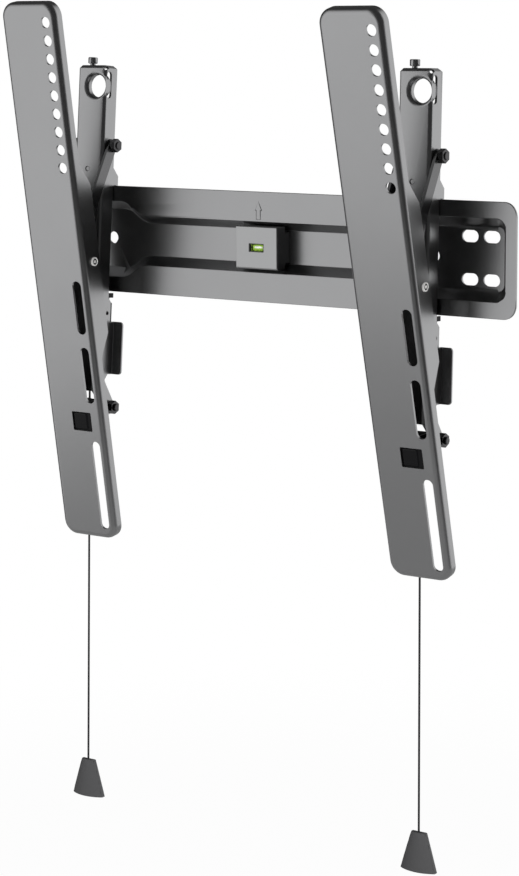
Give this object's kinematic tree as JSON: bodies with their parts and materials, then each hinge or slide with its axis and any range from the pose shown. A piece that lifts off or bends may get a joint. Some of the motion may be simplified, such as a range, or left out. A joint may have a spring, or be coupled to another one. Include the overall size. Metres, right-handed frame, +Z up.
{
  "type": "tilting tv wall bracket",
  "caption": "Wall rail with a bubble level and two hook-on brackets that carry long slotted tilting arms on struts, with pull cords for the safety latches.",
  "frame": {"origin": "centre of the wall slot patterns, on the wall behind the plate", "axes": "+X right along the plate, +Z up, +Y into the wall, room at -Y"},
  "size_m": [0.4824, 0.1166, 0.7037],
  "materials": {
    "powder_coat": "satin fine-textured black powder coat",
    "latch_paint": "gloss black paint",
    "dark_steel": "black zinc",
    "nickel": "bright nickel plate",
    "spring_steel": "bright drawn wire",
    "level_plastic": "satin grey",
    "cord": "fine braided black cord",
    "handle_plastic": "satin black",
    "vial": "clear yellow-green"
  },
  "bodies": {
    "base": {"wall_plate": "powder_coat", "level_housing": "level_plastic", "level_vial": "vial"},
    "left_bracket": {"left_bracket": "powder_coat", "left_upper_bolt": "dark_steel", "left_upper_nuts": "dark_steel", "left_upper_washers": "dark_steel", "left_pivot_bolt": "dark_steel", "left_pivot_nuts": "dark_steel", "left_pivot_washers": "dark_steel", "left_pivot_spacers": "dark_steel"},
    "left_screw": {"left_adjusting_screw": "dark_steel"},
    "left_latch": {"left_latch": "latch_paint", "left_latch_spring": "spring_steel", "left_cord_ferrule": "dark_steel", "left_cord": "cord", "left_handle": "handle_plastic"},
    "left_arm": {"left_tv_arm": "powder_coat", "left_hinge_carrier": "latch_paint", "left_pivot_barrel": "dark_steel", "left_strut_rivets": "nickel"},
    "left_strut_a": {"left_strut_a": "powder_coat"},
    "left_strut_b": {"left_strut_b": "powder_coat"},
    "right_bracket": {"right_bracket": "powder_coat", "right_upper_bolt": "dark_steel", "right_upper_nuts": "dark_steel", "right_upper_washers": "dark_steel", "right_pivot_bolt": "dark_steel", "right_pivot_nuts": "dark_steel", "right_pivot_washers": "dark_steel", "right_pivot_spacers": "dark_steel"},
    "right_screw": {"right_adjusting_screw": "dark_steel"},
    "right_latch": {"right_latch": "latch_paint", "right_latch_spring": "spring_steel", "right_cord_ferrule": "dark_steel", "right_cord": "cord", "right_handle": "handle_plastic"},
    "right_arm": {"right_tv_arm": "powder_coat", "right_hinge_carrier": "latch_paint", "right_pivot_barrel": "dark_steel", "right_strut_rivets": "nickel"},
    "right_strut_a": {"right_strut_a": "powder_coat"},
    "right_strut_b": {"right_strut_b": "powder_coat"}
  },
  "joints": [
    {"name": "left_bracket_slide", "type": "slide", "parent": "base", "child": "left_bracket", "axis": [1, 0, 0], "range_m": [-0.048, 0.11]},
    {"name": "left_arm_tilt", "type": "hinge", "parent": "left_bracket", "child": "left_arm", "pos_m": [-0.1664, -0.02328, -0.14322], "axis": [1, 0, 0], "range_deg": [-12.3, 1.2]},
    {"name": "left_strut_a_swing", "type": "hinge", "parent": "left_bracket", "child": "left_strut_a", "pos_m": [-0.1824, -0.01632, 0.07912], "axis": [1, 0, 0], "range_deg": [-2.56, 16.97]},
    {"name": "left_strut_b_swing", "type": "hinge", "parent": "left_bracket", "child": "left_strut_b", "pos_m": [-0.1504, -0.01632, 0.07912], "axis": [1, 0, 0], "range_deg": [-2.56, 16.97]},
    {"name": "left_latch_slide", "type": "slide", "parent": "left_bracket", "child": "left_latch", "axis": [0, -0.0879, -0.9961], "range_m": [0, 0.01], "stiffness_N_per_m": 300, "springref_m": -0.005, "deforming": ["left_latch_spring"]},
    {"name": "left_screw_turn", "type": "hinge", "parent": "left_bracket", "child": "left_screw", "pos_m": [-0.1706, -0.01418, 0.14559], "axis": [0, 0.0879, 0.9961], "continuous": true},
    {"name": "right_bracket_slide", "type": "slide", "parent": "base", "child": "right_bracket", "axis": [1, 0, 0], "range_m": [-0.1, 0.05]},
    {"name": "right_arm_tilt", "type": "hinge", "parent": "right_bracket", "child": "right_arm", "pos_m": [0.15815, -0.01295, -0.1435], "axis": [1, 0, 0], "range_deg": [-13.5, 0]},
    {"name": "right_strut_a_swing", "type": "hinge", "parent": "right_bracket", "child": "right_strut_a", "pos_m": [0.14215, -0.01818, 0.07889], "axis": [1, 0, 0], "range_deg": [-1, 18.2]},
    {"name": "right_strut_b_swing", "type": "hinge", "parent": "right_bracket", "child": "right_strut_b", "pos_m": [0.17415, -0.01818, 0.07889], "axis": [1, 0, 0], "range_deg": [-1, 18.2]},
    {"name": "right_latch_slide", "type": "slide", "parent": "right_bracket", "child": "right_latch", "axis": [0, -0.0332, -0.9995], "range_m": [0, 0.01], "stiffness_N_per_m": 300, "springref_m": -0.005, "deforming": ["right_latch_spring"]},
    {"name": "right_screw_turn", "type": "hinge", "parent": "right_bracket", "child": "right_screw", "pos_m": [0.15395, -0.01968, 0.14538], "axis": [0, 0.0332, 0.9995], "continuous": true}
  ],
  "couplings": [
    {"joint": "left_strut_a_swing", "follows": "left_arm_tilt", "ratio": -1.298},
    {"joint": "left_strut_b_swing", "follows": "left_arm_tilt", "ratio": -1.298},
    {"joint": "right_strut_a_swing", "follows": "right_arm_tilt", "ratio": -1.274},
    {"joint": "right_strut_b_swing", "follows": "right_arm_tilt", "ratio": -1.274}
  ]
}
